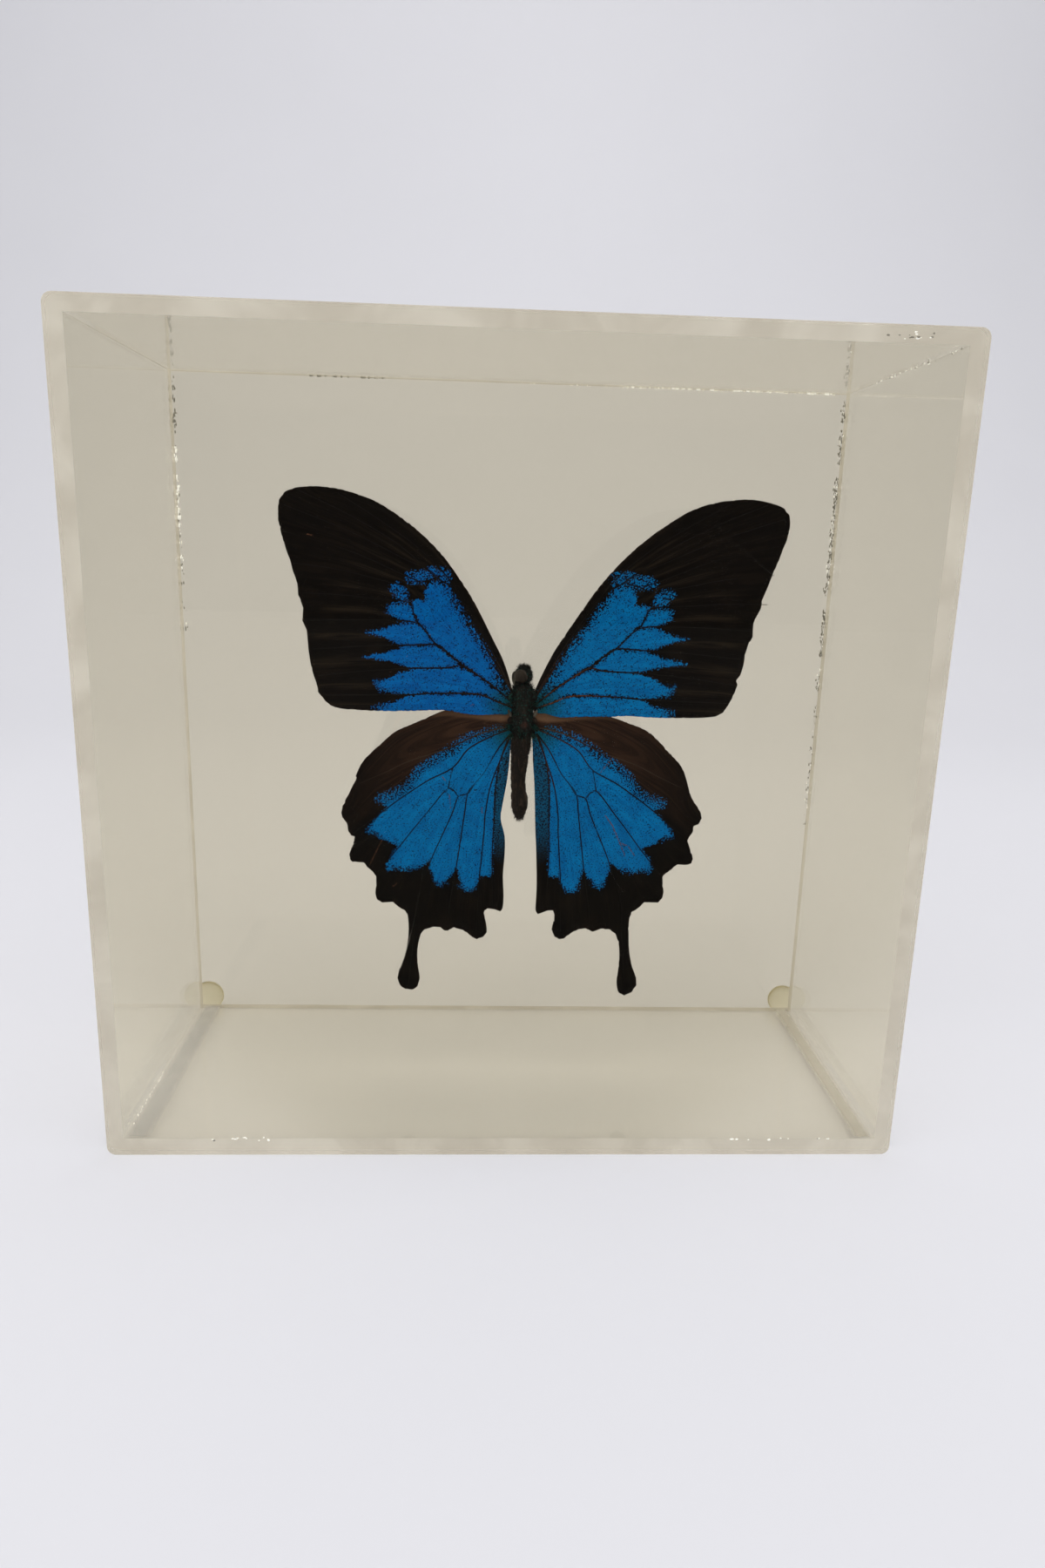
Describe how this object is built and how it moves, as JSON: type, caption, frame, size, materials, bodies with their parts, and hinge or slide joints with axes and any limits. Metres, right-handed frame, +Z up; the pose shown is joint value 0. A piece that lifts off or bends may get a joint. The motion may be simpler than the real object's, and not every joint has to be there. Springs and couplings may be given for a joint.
{
  "type": "butterfly in acrylic display case",
  "caption": "Blue and black swallowtail butterfly with spread wings, held on a clear rod in the middle of a clear, glued, square acrylic case.",
  "frame": {"origin": "middle of the case's underside, halfway between its front face and the bumpers at its back", "axes": "+Z up; the butterfly's upper side and the case's front face -Y; +X to the viewer's right"},
  "size_m": [0.18, 0.076, 0.18],
  "materials": {
    "acrylic": "clear polished acrylic, slightly yellowed",
    "bumper": "clear soft pad, yellowed",
    "wing": "black wing scales with shining blue patches",
    "body": "dark hair with green scales"
  },
  "bodies": {
    "root": {"front_panel": "acrylic", "back_panel": "acrylic", "top_panel": "acrylic", "bottom_panel": "acrylic", "left_panel": "acrylic", "right_panel": "acrylic", "bumper_left": "bumper", "bumper_right": "bumper", "mounting_rod": "acrylic", "head": "body", "thorax": "body", "abdomen": "body", "forewing_left": "wing", "forewing_right": "wing", "hindwing_left": "wing", "hindwing_right": "wing"}
  },
  "joints": []
}
